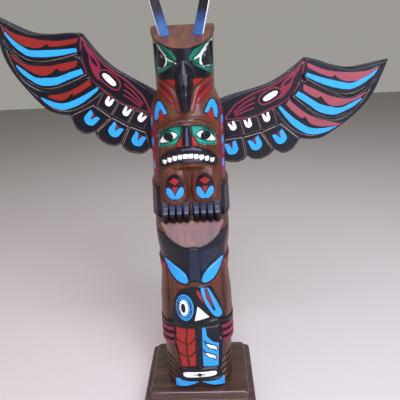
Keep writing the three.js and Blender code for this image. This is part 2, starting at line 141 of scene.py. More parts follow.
body_rows = np.arange(foot, crown_rows_from, row_step)
crown_rows = int(round((crown_top - crown_rows_from) / row_step))
crown_edge = np.full(columns, crown_top)
for _ in range(4):
    edge_y = log_surface(crown_edge, column_turn, column_flank, column_across, 1.2)[1]
    crown_edge = crown_at(edge_y)
climb = np.linspace(0, 1, crown_rows + 1)[:, None]
Z = np.vstack([
    np.repeat(body_rows[:, None], columns, 1),
    body_rows[-1] + row_step * 0.9 + (crown_edge - body_rows[-1] - row_step * 0.9) * climb,
])
X, Y = log_surface(Z, column_turn, column_flank, column_across)
rows = len(Z)


# The carver's marks. Each figure is drawn in millimetres, across and up from its own foot,
# and is cut straight into the front of the log.
relief = np.zeros_like(X)
worked = Y < 0.8 * log_back


def smooth(points, steps=6, closed=True):
    """A soft line through a few points, closed or open."""
    p = np.array(points, float)
    p = np.vstack([p[-1], p, p[:2]]) if closed else np.vstack([2 * p[0] - p[1], p, 2 * p[-1] - p[-2]])
    line = []
    for a, b, c, d in zip(p, p[1:], p[2:], p[3:]):
        for t in np.arange(steps) / steps:
            line.append(0.5 * (2 * b + (c - a) * t + (2 * a - 5 * b + 4 * c - d) * t ** 2
                               + (3 * b - a - 3 * c + d) * t ** 3))
    return np.array(line if closed else line + [p[-2]])


def curve(points):
    """A soft line through a few points, left open."""
    return smooth(points, closed=False)


def looped(outline):
    """A closed outline as a line that ends where it starts."""
    return np.vstack([outline, outline[:1]])


def mirrored(points):
    """The same points on the other side of the middle line."""
    return [(-x, z) for x, z in points][::-1]


def cos_sin(degrees):
    """The cosine and the sine of some degrees."""
    return math.cos(math.radians(degrees)), math.sin(math.radians(degrees))


def oval(x, z, rx, rz, lean=0.0, sides=28):
    """An oval about a place, leaning by some degrees."""
    turn = np.linspace(0, 2 * math.pi, sides, endpoint=False)
    a, b = rx * np.cos(turn), rz * np.sin(turn)
    cos, sin = cos_sin(lean)
    return np.stack([x + a * cos - b * sin, z + a * sin + b * cos], 1)


def to_line(line, x, z, closed):
    """Distance in mm from each place to a line of points, and whether the place is inside."""
    best = np.full(x.shape, 1e6)
    inside = np.zeros(x.shape, bool)
    ends = np.roll(line, -1, 0) if closed else line[1:]
    for a, b in zip(line, ends):
        run = b - a
        t = np.clip(((x - a[0]) * run[0] + (z - a[1]) * run[1]) / (run @ run + 1e-9), 0, 1)
        best = np.minimum(best, (x - a[0] - t * run[0]) ** 2 + (z - a[1] - t * run[1]) ** 2)
        if closed and a[1] != b[1]:
            crossing = (a[1] > z) != (b[1] > z)
            inside ^= crossing & (x < run[0] * (z - a[1]) / run[1] + a[0])
    return np.sqrt(best), inside


# The paints, each laid over those named before it. Scraped is wood that shows through in the cut steps of
# the wings.
# Grey and navy are painted highlights on the black, and pine is the green darkened as painted shade. The
# right wing's rose is its red lightened as a painted highlight, and the left's brick is the same red
# darkened as painted shade.
paint_colours = {
    "black": "#0b0e16",
    "red": "#9e1e19",
    "wine": "#7e2236",
    "green": "#14ab90",
    "pine": "#0a6b56",
    "maroon": "#74231f",
    "blue": "#2c9ce6",
    "grey": "#4a4f62",
    "scraped": "#7d6459",
    "white": "#f4f1ee",
    "denim": "#2e5c92",
    "navy": "#1c2840",
    "brick": "#84211c",
    "rose": "#93444f",
}
# How far from an outline, in mm, a paint's field is worked out.
margin = 9.0


class Sheet:
    """A pattern laid over a surface, with the carving's height and the coats of paint."""

    def __init__(self, x, z, height, where, unit=1.0):
        self.x, self.z, self.height, self.where, self.unit = x, z, height, where, unit
        self.coats = {name: np.full(x.shape, -margin) for name in paint_colours}
        self.base = 0.0

    def depth(self, outline, wide=0.0):
        """How far inside an outline, or a line of some width, each place lies."""
        line = np.array(outline, float) + (0, self.base)
        reach = margin + wide
        near = (self.x > line[:, 0].min() - reach) & (self.x < line[:, 0].max() + reach)
        near &= (self.z > line[:, 1].min() - reach) & (self.z < line[:, 1].max() + reach) & self.where
        away, inside = to_line(line, self.x[near], self.z[near], closed=not wide)
        depth = np.full(self.x.shape, -margin)
        depth[near] = wide / 2 - away if wide else np.where(inside, away, -away)
        return np.maximum(depth, -margin)

    def lay(self, outline, level, soft=1.2, wide=0.0, up=True):
        """Raise or sink what lies inside an outline to a level, with a soft edge."""
        level = level * self.unit
        share = np.clip(self.depth(outline, wide) / soft + 0.5, 0, 1)
        share = share * share * (3 - 2 * share)
        goal = np.maximum(self.height, level) if up else np.minimum(self.height, level)
        self.height += (goal - self.height) * share

    def cut(self, line, wide=1.8, deep=0.8):
        """A V cut along a line."""
        self.height -= deep * np.clip(self.depth(line, wide) / (wide / 2), 0, 1)

    def coat(self, colour, outline, wide=0.0):
        """Paint what lies inside an outline, over what is there. No colour takes paint away."""
        depth = self.depth(outline, wide)
        for name, field in self.coats.items():
            if name == colour:
                np.maximum(field, depth, out=field)
            else:
                np.minimum(field, -depth, out=field)


relief_unit = 2.4
carving = Sheet(X, Z, relief, worked, relief_unit)
lay, cut, coat = carving.lay, carving.cut, carving.coat


def both(act, *given, **more):
    """The same mark on the left and on the right."""
    act(*given, **more)
    act(*(v if isinstance(v, (str, float, int)) else mirrored(v) for v in given), **more)


# Thunderbird: forehead wedge and hood over sunk eye sockets, the eyes bent round the sides
# of the head, red cheeks, and a blue and red feather mark on each side of the chest.
carving.base = bird
both(lay, [(7, 61), (24, 78), (34, 84), (34.5, 50), (24, 45), (8, 45)], -1.0, up=False)
hood = [(0, 45), (24, 45), (31, 53), (8, 61), (24, 82), (0, 79), (-24, 82), (-8, 61), (-31, 53), (-24, 45)]
lay(hood, 0.6)
pupil = smooth([(29, 74), (33, 62), (30, 56), (25, 58), (24, 66), (26, 72)])
both(lay, pupil, 0.4)
cheek = curve([(30, 41.5), (22, 37), (14.5, 29), (9.5, 19), (7, 10)])
both(lay, cheek, 0.6, wide=5.0)
low_cheek = curve([(31, 32), (23, 27), (15, 19)])
both(lay, low_cheek, 0.4, wide=3.4)

forehead = [(0, 44), (30, 44), (33, 51), (20, 54), (8, 61.5), (13, 70), (25, 82), (37, 95), (40, 104),
            (-40, 104), (-37, 95), (-25, 82), (-13, 70), (-8, 61.5), (-20, 54), (-33, 51), (-30, 44)]
coat("black", forehead)
# The sunk eye sockets are painted pine, the green darkened as painted shade.
both(coat, "pine", [(8.5, 61.5), (20, 53.5), (30, 48.5), (36, 50), (37, 84), (33, 86), (26, 82), (12, 74),
                    (6.5, 66)])
both(coat, "black", [(35.5, 87), (28, 77.4), (21.6, 69.6), (20.4, 63), (22.6, 57.6), (27, 55.8), (33, 57),
                     (38, 60), (40, 72), (39, 88)])
coat("white", [(35, 87), (33, 85.2), (21, 70.6), (8.6, 61.4), (9.6, 62.6), (20.2, 66.5), (19.8, 60),
               (22.5, 55.2), (31, 55.6), (31, 57.2), (23.9, 57.2), (21.9, 62), (22.6, 67.5), (34.5, 84.2)])
left_lid = curve([(-33.6, 84.5), (-27.1, 75.8), (-21.6, 69.2), (-18.6, 65.2), (-7.6, 60.5)])
coat("white", left_lid, wide=1.3)
left_crescent = curve([(-21.3, 69.4), (-20.4, 63.3), (-22.9, 58), (-27.4, 55.7), (-31, 57)])
coat("white", left_crescent, wide=1.7)
both(coat, "red", [(9.5, 43.5), (20, 43.8), (18, 39.8), (13.5, 38.5), (9, 37.6)])
both(coat, "maroon", [(33, 45), (22, 41), (11, 31), (6.5, 19), (7.5, 7), (15, 14), (25, 23.5), (34, 28.5)])
for line in (cheek, low_cheek):
    both(coat, "red", line + (0.9, 1.9), wide=0.9)
both(cut, curve([(34, 46), (22.5, 41.2), (12, 31.5), (6.4, 17.5)]))
both(cut, curve([(33, 38.6), (23, 33), (15.4, 26), (12, 18)]))
chest_mark = [(36.5, -3), (38, 3), (37.3, 11), (33.6, 18.4), (29.6, 19.4), (26.2, 15.5), (21.5, 7.0),
              (25.4, 5.2), (28.6, 10.2), (30.2, 11.4), (32, 7.6), (33, 0)]
both(coat, "black", looped(chest_mark), wide=2.4)
both(coat, "blue", chest_mark)
both(coat, "red", [(30.2, 10.6), (28.4, 7.6), (25.6, 4.4), (28, -1), (32, -4), (32.2, 2)])

# The bird's legs run down both flanks of the log, as a wine-red strip with blue patches.
strip = curve([(42.6, 12), (42.8, -10), (42, -40), (41.4, -66)])
both(lay, strip, 0.3, wide=6.0)
both(coat, "wine", strip, wide=6.0)
for height in (-6, -30, -58):
    both(coat, "blue", oval(42.4, height, 1.5, 5.4))

# Bear: brow arch, green sockets, almond eyes, nose with red nostrils, and a wide mouth
# full of blunt teeth.
carving.base = bear
brow = [(-36, 108), (-27, 119.5), (-12, 127), (12, 127), (27, 119.5), (36, 108)]
brow_foot = [(34, 106), (20, 119), (6, 121), (-6, 121), (-20, 119), (-34, 106)]
lay(np.vstack([curve(brow), curve(brow_foot)]), 1.4)
socket = smooth([(5, 121), (20, 119.5), (30, 113), (34.5, 104), (34.5, 95), (24, 97), (14, 99.5), (9, 108)])
both(lay, socket, -1.2, up=False)
almond = smooth([(11.8, 109.8), (17, 113.4), (22.6, 113.2), (28.8, 108.8),
                 (33.6, 100.2), (25, 101.6), (17, 105)])
both(lay, almond, 0.1)
eyeball = oval(22, 109, 5.6, 4.7, lean=-14)
both(lay, eyeball, 0.7, soft=2.0)
nose = [(-4.6, 123), (-5.2, 97), (5.2, 97), (4.6, 123)]
lay(nose, 2.2)
nostril = [(4, 111), (4, 97), (12.8, 97), (11, 101)]
both(lay, nostril, 1.3)
lip_top = curve([(-34, 80), (-24, 90), (-9, 95.5), (9, 95.5), (24, 90), (34, 80)])
lip_foot = curve([(33.5, 70), (18, 77), (0, 79), (-18, 77), (-33.5, 70)])
mouth = np.vstack([lip_top, lip_foot])
lay(mouth, 1.2)
gap_top = curve([(-31, 79), (-20, 86), (0, 89.5), (20, 86), (31, 79)])
gap_foot = curve([(31, 74), (18, 80.4), (0, 82.4), (-18, 80.4), (-31, 74)])
lay(np.vstack([gap_top, gap_foot]), 0.0, up=False)

coat("green", socket)
coat("green", mirrored(socket))
both(coat, "white", almond)
both(coat, "black", oval(21.4, 108.5, 5.7, 5.3, lean=-20))
coat("black", [(-4.6, 123), (-5.2, 96.5), (5.2, 96.5), (4.6, 123)])
# Painted highlight: a grey strip down the middle of the black nose.
coat("grey", [(-0.6, 120), (-1.8, 98.5), (1.4, 98.5), (1.0, 120)])
both(coat, "red", [(5.4, 109.8), (5.2, 98), (11.6, 98.2), (11.6, 100.8)])
coat("black", mouth)
# Painted highlights: grey lines along the upper lip and under the teeth.
coat("grey", curve([(-6, 93.6), (4, 94.2), (14, 92.6)]), wide=1.8)
coat("grey", curve([(-5, 79.4), (5, 80), (15, 79)]), wide=1.6)
tooth_count = 10
tooth = np.array([(-3.0, -2.2), (-2.1, -3.2), (2.1, -3.2), (3.0, -2.2),
                  (3.0, 2.2), (2.1, 3.2), (-2.1, 3.2), (-3.0, 2.2)])
tooth_pitch, tooth_arch = 6.2, 0.01
for k in range(tooth_count):
    x = tooth_pitch * (k - (tooth_count - 1) / 2)
    shape = tooth * (1 - 0.006 * abs(x), 1 - 0.009 * abs(x)) + (x, 86 - tooth_arch * x * x)
    lay(shape, 0.8, soft=1.2)
    coat("white", shape)
cut(curve([(-33, 110), (-22, 120.5), (-7, 124), (7, 124), (22, 120.5), (33, 110)]), deep=1.4)
bar = [(38.5, 3.5), (38.5, 46), (43, 47), (56, 47), (56, 3.5)]
both(lay, bar, 1.2)
both(coat, "black", [(38.6, 3.5), (38.2, 45.5), (44, 46.5), (44.6, 3.5)])
# Painted highlight: a grey stripe down the middle of each black bar.
both(coat, "grey", [(41.4, 12), (41, 41), (42.6, 41), (42.8, 12)])

# Raven: a dark brow under the tray, leaf-shaped blue eyes and the long straight beak bar.
carving.base = raven
raven_brow = [(43, 52), (40, 36), (30, 27), (18, 20), (9, 10), (0, 6)]
raven_brow += mirrored(raven_brow)[1:] + [(-47, 66), (47, 66)]
lay(raven_brow, 0.5)
leaf = smooth([(38, 27), (28, 22.5), (16, 14.5), (9.8, 6), (9.2, -1), (14, -3), (24, 1), (32, 11.5)])
both(lay, leaf, 0.9)
beak_bar = [(-5.5, 50), (-7.5, 0), (7.5, 0), (5.5, 50)]
lay(beak_bar, 1.6)
both(lay, [(39, -65), (37.5, 3), (39, 18), (43, 22), (56, 22), (56, -65)], 1.2)
coat("black", raven_brow)
both(coat, "black", smooth([(41, 34), (28, 28.5), (13, 17), (7.5, 6),
                            (7.6, -3.6), (15, -6), (27, -1.6), (36, 10)]))
both(coat, "blue", leaf)
coat("black", beak_bar)
# Painted highlight: soft navy patches down the beak bar and on the right of the brow, where the light
# shines on the black paint.
brow_patch = smooth([(9.5, 42), (10, 16), (19, 24), (31, 34), (30, 44)])
for patch in ([(-5, 48), (-6.6, 4), (6.6, 4), (5, 48)], brow_patch):
    np.maximum(carving.coats["navy"], carving.depth(patch), out=carving.coats["navy"])
both(cut, [(6.2, 50), (8.2, 0)])
both(coat, "red", curve([(40, 20), (37, 9), (28.6, -3.4), (17, -8)]), wide=1.0)

# Whale: a black head with a ringed eye and a striped jaw, over the curved lip.
carving.base = whale
head = smooth([(-30, 110), (-31.5, 130), (-28.5, 146), (-22, 158), (-12, 166), (2, 167.5),
               (17, 166), (24, 157), (33.5, 132), (36, 120), (31, 112)])
lay(head, 0.7)
lay(oval(-14.8, 136.7, 11.8, 20.8), 1.1)
lay(oval(-16.2, 136.4, 6.2, 12.5), 0.7, up=False)
lay(oval(-16.6, 136.3, 3.2, 7.4), 1.1)
jaw = smooth([(1, 166), (16, 165), (25, 148), (33.6, 122), (28, 115), (15, 128), (4, 143)])
lay(jaw, 1.2)
lip = curve([(-46, 105), (-30, 108.6), (-16, 107.6), (0, 108), (17, 111.2), (30, 110.6), (50, 100)])
lay(lip, 1.5, wide=6.0)

coat("black", head)
coat("blue", oval(-14.8, 136.7, 11.2, 20.0))
coat("white", oval(-16.2, 136.4, 5.8, 12.0))
coat("black", oval(-16.8, 136.2, 3.0, 7.2))
for rx, rz in ((7.6, 14.6), (9.4, 17.4)):
    eye_line = looped(oval(-15.3, 136.6, rx, rz))
    cut(eye_line, wide=1.4, deep=0.5)
    coat("black", eye_line, wide=1.1)
coat("red", [(1.8, 164.5), (1.2, 158), (5.4, 149.5), (10.4, 142.2), (7.2, 153), (4.4, 161)])
coat("blue", smooth([(6.8, 166), (8.4, 153), (14.4, 136.5), (22.5, 121.5), (28.6, 117.6), (32.8, 121.4),
                     (28.4, 136), (22, 152), (16.5, 164), (12, 165)]))
coat("black", [(10.6, 164.5), (13.2, 150), (22.5, 127.5), (24.4, 130), (18.8, 149), (14.8, 164)])
coat("red", [(11.6, 163), (14.2, 150), (22.4, 130), (18, 148), (14, 163)])
coat("white", [(1.7, 139), (16.4, 120.4), (-3, 115.8)])
coat("black", lip, wide=6.0)

# The whale's hands: three wine-red fingers on each flank.
for finger in range(3):
    z = 101.5 - 11.2 * finger
    shape = [(28.5, z + 2.2), (56, z - 6.6), (56, z - 12.6), (33, z - 5.0), (28, z - 2)]
    both(lay, shape, 1.4)
    both(coat, "black", [(29, z + 5), (56, z - 4), (56, z - 15), (32, z - 7)])
    both(coat, "wine", shape)

# The body: a red ribbed panel, a dark bar, and a blue panel with a fin and two white waves.
lay([(-28.5, 104), (-29, 76), (-24.5, 38), (-4, 38.5), (-3, 105)], 0.9)
coat("black", [(-31, 107), (-31, 74), (-26, 35), (30, 33), (33, 76), (32, 107)])
coat("red", [(-28.2, 103.8), (-28.8, 76), (-24, 38.2), (-4.9, 39), (-3.6, 104.2)])
groove = [(-14.4, 103), (-16.4, 82), (-16.4, 60), (-14.8, 41)]
cut(groove, wide=3.2, deep=2.2)
coat("bare", groove, wide=3.4)
for z in (82, 60.5):
    chevron = curve([(-28.4, z + 1), (-21, z - 2.5), (-16.4, z - 6), (-10, z - 2.5), (-4, z + 5)])
    cut(chevron, wide=3.0, deep=1.8)
    coat("bare", chevron, wide=2.7)
lay([(-2.4, 106), (-3.4, 36.5), (3.4, 36.5), (4.4, 106)], 1.5)
lay([(5.6, 104), (5, 38), (26.5, 35.5), (28, 74), (30, 102)], 0.9)
coat("blue", [(5.4, 104), (10.4, 103.6), (11.6, 90), (19.5, 79), (28, 75), (26.6, 35.6), (5, 38.6)])
for wave in (0, 1):
    shift = (-1.6 * wave, -15.2 * wave)
    white = smooth([(10.4, 77.4), (14, 76.2), (17.4, 74), (21, 72.2), (23.6, 69), (24.6, 63),
                    (21.6, 66.4), (18.4, 68), (15, 69.6), (12.6, 73)]) + shift
    lay(white, 1.4)
    coat("black", looped(white), wide=3.2)
    coat("black", [(8.2 + shift[0], 82.5 + shift[1]), (10.8 + shift[0], 77 + shift[1])], wide=2.2)
    coat("white", white)
for k in range(3):
    cut(curve([(14.5 + 4 * k, 103), (15.5 + 4 * k, 92 - k), (22 + 2.4 * k, 82 - k)]))
both(lay, [(30.5, 82), (33.8, 82), (31.4, 30), (28.4, 34)], 1.2)

# The flanks behind the panels: four slanting grooves on each, painted black.
for k in range(4):
    z = 44 - 10.5 * k
    both(lay, [(31, z - 4), (56, z + 8)], -0.9, wide=4.0, up=False)
    both(coat, "black", [(31, z - 4), (56, z + 8)], wide=4.0)

# The tail: a dark rounded bar with a white mouth-like mark, over two blue flukes.
tail_bar = smooth([(-27.5, 16.5), (-30.5, 24), (-25, 32.8), (0, 34.6),
                   (25.5, 32), (30.5, 23), (26.5, 14.6), (0, 15)])
lay(tail_bar, 1.3)
tail_mark = smooth([(-22.6, 24.9), (-19, 29.4), (0, 30.2), (19, 29.6),
                    (22.6, 25.6), (19, 21.6), (0, 21.2), (-18, 20.6)])
lay(tail_mark, 1.7)
flukes = [(-33, 0.3), (-33, 15), (-20, 17), (20, 17), (33, 15), (33, 0.3), (17, 4), (0, 12.5), (-17, 4)]
lay(flukes, 2.2)
coat("blue", flukes)
both(coat, "black", [(33.5, 1.6), (17, 5.4), (0, 13.8)], wide=2.6)
coat("black", tail_bar)
coat("white", tail_mark)
coat("black", [(-12.5, 25.6), (-3, 26.8), (-0.4, 29.2), (2.2, 26.8),
               (10, 26), (2.2, 24.2), (-0.4, 21.6), (-3, 24.6)])

# The lip that the crown's slanted cut leaves round the forehead. Paint stops short of it and
# of the flat back.
lip_height, lip_stands, bare_lip = 2.8, 1.2, 1.1
under_crown = crown_at(Y) - Z
relief[:] = np.where(under_crown < lip_height, np.maximum(relief, lip_stands), relief)
for field in carving.coats.values():
    np.minimum(field, under_crown - bare_lip, out=field)
    np.minimum(field, 0.72 * log_back - Y, out=field)

# The deep forms are cut back from the log's face or stand out of it: the beak, the tray
# under the bear's feet with the hollow behind them, the knees and the toes.
px, py = log_surface(Z, column_turn, column_flank, column_across, relief * worked)
before = py.copy()

uncut = -99.0
toe_wall, knee_wall = -18.9, -26.7
tray_foot, tray_face, tray_lean = raven + 50.5, -42.14, math.tan(math.radians(50))
tray = np.minimum(tray_face + (Z - tray_foot) / tray_lean, toe_wall)
tray = np.where((Z > tray_foot) & (Z < bear + 3), tray, uncut)
hollow_z = [bear + 2, bear + 24, bear + 66, bear + 74]
hollow = np.interp(Z, hollow_z, [toe_wall, knee_wall, -33.5, -41.7])
hollow = np.where((Z > bear + 1) & (Z < bear + 75) & (np.abs(X) < 39), hollow, uncut)
for field in carving.coats.values():
    np.minimum(field, 1.2 - 2.0 * np.clip(tray - py, 0, 5), out=field)
py = np.maximum(py, np.maximum(tray, hollow))

knee_middle, knee_half, knee_tall, knee_deep, knee_square = 17.8, 16.8, 28.0, 12.9, 0.72
for side in (-1, 1):
    across = np.clip(np.abs((X - side * knee_middle) / knee_half), 0, 1) ** (1 / knee_square)
    up = np.clip(np.abs((Z - bear - 48) / knee_tall), 0, 1) ** (1 / knee_square)
    round_off = np.where(worked, 1 - across ** 2 - up ** 2, -1)
    knee_face = knee_wall - knee_deep * np.sqrt(np.clip(round_off, 0, 1))
    py = np.where(round_off > 0, np.minimum(py, knee_face), py)

# The bear's knees: an oval badge on each, black with a red diamond above two blue petals.
carving.base = bear
for side in (-1, 1):
    centre = side * 18.2
    coat("wine", oval(centre, 47, 12.5, 17.6))
    coat("black", oval(centre, 47, 11.8, 16.9))
    coat("red", [(centre - 6.2, 55), (centre, 59.4), (centre + 6.2, 55.4), (centre + 0.5, 50.6)])
    petal = [(-10.2, 46), (-10.0, 39), (-5.6, 33), (-0.5, 32), (-0.5, 37), (-4.2, 44.6), (-7.2, 47.2)]
    coat("blue", smooth([(centre + x, z) for x, z in petal]))
    coat("blue", smooth([(centre - x, z) for x, z in petal[::-1]]))
    coat("red", [(centre - 3.6, 48), (centre + 3.6, 48), (centre, 38)])

# The toes: four on each foot, black, with a painted highlight in grey along their tops, each a ridge that
# runs back up the foot.
toe_z = [bear - 5, bear + 6, bear + 10, bear + 20, bear + 24]
toe_run = [7.7, 0, 0, 13.8, 21.5]
toe_width, toe_pitch, toe_reach = 7.1, 8.8, -31.0
foot_start, foot_front = 5.0, 47.5
half = section_at(bear + 5)[0]
both(coat, "black", [(1.6, -6), (1.6, 22), (37.8, 22), (37.8, -6)])
for side in (-1, 1):
    for k in range(4):
        middle = side * (2.2 + toe_pitch * (k + 0.5))
        skin = foot_start - foot_front * math.sqrt(1 - (middle / half) ** 2) - relief_unit
        tip = max(toe_reach, skin)
        on_toe = worked & (np.abs(X - middle) < toe_width / 2) & (Z > toe_z[0]) & (Z < toe_z[-1])
        crowned = 1.6 * (2 * (X - middle) / toe_width) ** 4
        py = np.where(on_toe, np.minimum(py, tip + np.interp(Z, toe_z, toe_run) + crowned), py)
        coat("grey", [(middle - 3.2, 9), (middle - 3.2, 24), (middle + 3.2, 24), (middle + 3.2, 9)])

# The beak: at some heights, its half-width, and shares of how deep it is rooted and of how
# far it reaches.
beak_rings = np.array([(8, 1.4, -1.05, 0.6), (11.5, 4.2, -0.9, 0.78), (18, 6.4, -0.62, 0.95),
                       (27, 8.2, -0.5, 1.0), (38, 9.4, -0.5, 0.95), (50, 9.4, -0.5, 0.66),
                       (58, 6.8, -0.5, 0.3), (64, 2, -0.72, 0.05)])
beak_root, beak_reach = 43, 16
beak_half, beak_back, beak_out = (
    np.interp(Z - bird, beak_rings[:, 0], beak_rings[:, k]) for k in (1, 2, 3))
face_y = -section_at(Z)[2]
beak_back = beak_back * beak_root
beak_front = face_y - beak_out * beak_reach
on_beak = worked & (np.abs(X) < beak_half) & (Z > bird + 8) & (Z < bird + 64)
bulge = np.sqrt(np.clip(1 - (X / beak_half) ** 2, 0, 1))
beak_y = (beak_back + beak_front) / 2 - (beak_back - beak_front) / 2 * bulge
py = np.where(on_beak, np.minimum(py, beak_y), py)
beak_side = beak_rings[:, [1, 0]] + (0.8, 0)
carving.base = bird
coat("black", np.vstack([beak_side, mirrored(beak_side)]))


def wear_and_shade_rise(height, times=2):
    """How far each place of a grid stands above its neighbours, round the log and up. It sets both the
    rubbed wear on proud edges and the painted shade in hollows.
    """
    soft = height.copy()
    for _ in range(times):
        soft = (soft + np.roll(soft, 1, 1) + np.roll(soft, -1, 1)) / 3
        soft[1:-1] = (soft[:-2] + soft[1:-1] + soft[2:]) / 3
    return height - soft


stands_out = wear_and_shade_rise(relief + np.clip(before - py, -1.5, 1.5))


def make_piece(name, points, faces, fields, finish):
    """A mesh piece from places in mm, its faces, and the fields its finish reads."""
    mesh = bpy.data.meshes.new(name)
    mesh.from_pydata((np.asarray(points) * MM).tolist(), [], faces)
    mesh.update()
    for key, values in fields.items():
        mesh.attributes.new(key, "FLOAT", "POINT").data.foreach_set("value", np.asarray(values, np.float32))
    mesh.polygons.foreach_set("use_smooth", np.ones(len(mesh.polygons), bool))
    mesh.materials.append(finish)
    piece = bpy.data.objects.new(name, mesh)
    bpy.context.scene.collection.objects.link(piece)
    return piece


def ring_faces(levels, around):
    """Four-sided faces between rings of places, one ring above the other."""
    a = np.arange(levels - 1)[:, None] * around + np.arange(around)
    b = np.arange(levels - 1)[:, None] * around + (np.arange(around) + 1) % around
    return np.stack([a, b, b + around, a + around], 2).reshape(-1, 4).tolist()


def closed_faces(levels, around):
    """The rings' faces, closed at the last ring and at the first by the two places after them."""
    faces = ring_faces(levels, around)
    last = (levels - 1) * around
    for k in range(around):
        k_next = (k + 1) % around
        faces.append((last + k, last + k_next, levels * around))
        faces.append((k_next, k, levels * around + 1))
    return faces


# The crown's face and the foot: rings drawn in to a middle point.
cap_rings = 14
crown_mid = np.array([0.0, 2.0])
shrink = np.linspace(1, 0, cap_rings + 1)[1:-1, None]
cap_x = crown_mid[0] + (px[-1] - crown_mid[0]) * shrink
cap_y = crown_mid[1] + (py[-1] - crown_mid[1]) * shrink
cap_z = crown_at(cap_y)
all_x = np.concatenate([px.ravel(), cap_x.ravel(), [crown_mid[0], 0.0]])
all_y = np.concatenate([py.ravel(), cap_y.ravel(), [crown_mid[1], 0.0]])
all_z = np.concatenate([Z.ravel(), cap_z.ravel(), [crown_at(crown_mid[1]), foot]])
pole_faces = closed_faces(rows + cap_rings - 1, columns)

rest = len(all_x) - X.size
pole_fields = {"paint_" + name: np.concatenate([field.ravel(), np.full(rest, -margin)])
               for name, field in carving.coats.items()}
pole_fields["stands_out"] = np.concatenate([stands_out.ravel(), np.zeros(rest)])


# Brush paint on oiled cedar: a red-brown stain with fine upright grain, under thick household
# colours laid on by hand, so that their edges waver and their faces keep brush marks. Satin
# varnish over all gives soft highlights, and the carved edges are rubbed back to the wood.
def linear(code):
    """An sRGB hex colour as linear light."""
    parts = [int(code[i:i + 2], 16) / 255 for i in (1, 3, 5)]
    return [c / 12.92 if c <= 0.04045 else ((c + 0.055) / 1.055) ** 2.4 for c in parts] + [1.0]


def node(tree, kind, sockets, out=0, **settings):
    """Adds one node with its settings, its socket values and its links, and gives its output.
    A socket goes by its name, or by its number where a node has several of one name."""
    made = tree.nodes.new("ShaderNode" + kind)
    for key, value in settings.items():
        setattr(made, key, value)
    for key, value in sockets.items():
        if isinstance(value, bpy.types.NodeSocket):
            tree.links.new(value, made.inputs[key])
        else:
            made.inputs[key].default_value = value
    return made.outputs[out] if made.outputs else None


def new_finish(name):
    """A new material with its node tree, emptied."""
    finish = bpy.data.materials.new(name)
    finish.use_nodes = True
    finish.node_tree.nodes.clear()
    return finish, finish.node_tree


stain_dark = "#24100a"
stain_light = "#6c3a24"
painted_shade_in_cuts = "#1a0f0c"
rubbed_wood = "#8a5a40"
paint_waver = 0.35


def per(*sizes):
    """Pattern scales, to the metre, from real sizes in mm."""
    return [1 / (size * MM) for size in sizes]


